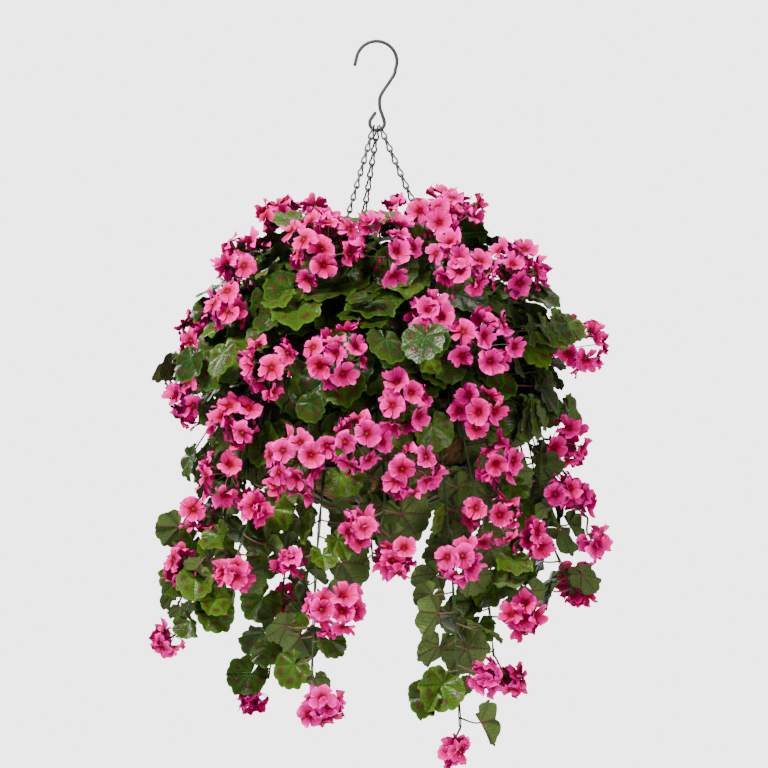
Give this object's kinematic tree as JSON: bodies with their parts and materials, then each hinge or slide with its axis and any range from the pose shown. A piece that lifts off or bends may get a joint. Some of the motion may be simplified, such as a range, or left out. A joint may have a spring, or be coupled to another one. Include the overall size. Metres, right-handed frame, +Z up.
{
  "type": "geranium hanging basket",
  "caption": "Hook and chains carry a coco-lined round wire basket with a bushy crown of pink geraniums and stems of leaves and flower heads that trail over its rim.",
  "frame": {"origin": "seat of the hook: the inside of the top of its crook, where a bracket carries the basket", "axes": "+Z up, -Y towards the front, +X to the right seen from the front"},
  "size_m": [0.6298, 0.6223, 0.9747],
  "materials": {
    "dark_steel": "satin dark brown-black",
    "black_wire": "satin black",
    "coir": "matte coarse fibre",
    "medium": "matte crumbled",
    "foliage": "semi-gloss green with a maroon ring",
    "petals": "matte pink with paler edges"
  },
  "bodies": {
    "root": {"hook": "dark_steel", "chain_right": "dark_steel", "chain_left": "dark_steel", "chain_back": "dark_steel", "wire_basket": "black_wire", "coco_liner": "coir", "growing_medium": "medium", "crown_foliage": "foliage", "flower_head_01": "petals", "flower_head_02": "petals", "flower_head_03": "petals", "flower_head_04": "petals", "flower_head_05": "petals", "flower_head_06": "petals", "flower_head_07": "petals", "flower_head_08": "petals", "flower_head_09": "petals", "flower_head_10": "petals", "flower_head_11": "petals", "flower_head_12": "petals", "flower_head_13": "petals", "flower_head_14": "petals", "flower_head_15": "petals", "flower_head_16": "petals", "flower_head_17": "petals", "flower_head_18": "petals", "flower_head_19": "petals", "flower_head_20": "petals", "flower_head_21": "petals", "flower_head_22": "petals", "flower_head_23": "petals", "flower_head_24": "petals", "flower_head_25": "petals", "flower_head_26": "petals", "flower_head_27": "petals", "flower_head_28": "petals", "flower_head_29": "petals", "flower_head_30": "petals", "flower_head_31": "petals", "flower_head_32": "petals", "flower_head_33": "petals", "flower_head_34": "petals", "flower_head_35": "petals", "flower_head_36": "petals", "flower_head_37": "petals", "trailing_stem_01": "foliage", "trailing_stem_02": "foliage", "trailing_stem_03": "foliage", "trailing_stem_04": "foliage", "trailing_stem_05": "foliage", "trailing_stem_06": "foliage", "trailing_stem_07": "foliage", "trailing_stem_08": "foliage", "trailing_stem_09": "foliage", "trailing_stem_10": "foliage", "trailing_stem_11": "foliage", "trailing_stem_12": "foliage"}
  },
  "joints": []
}
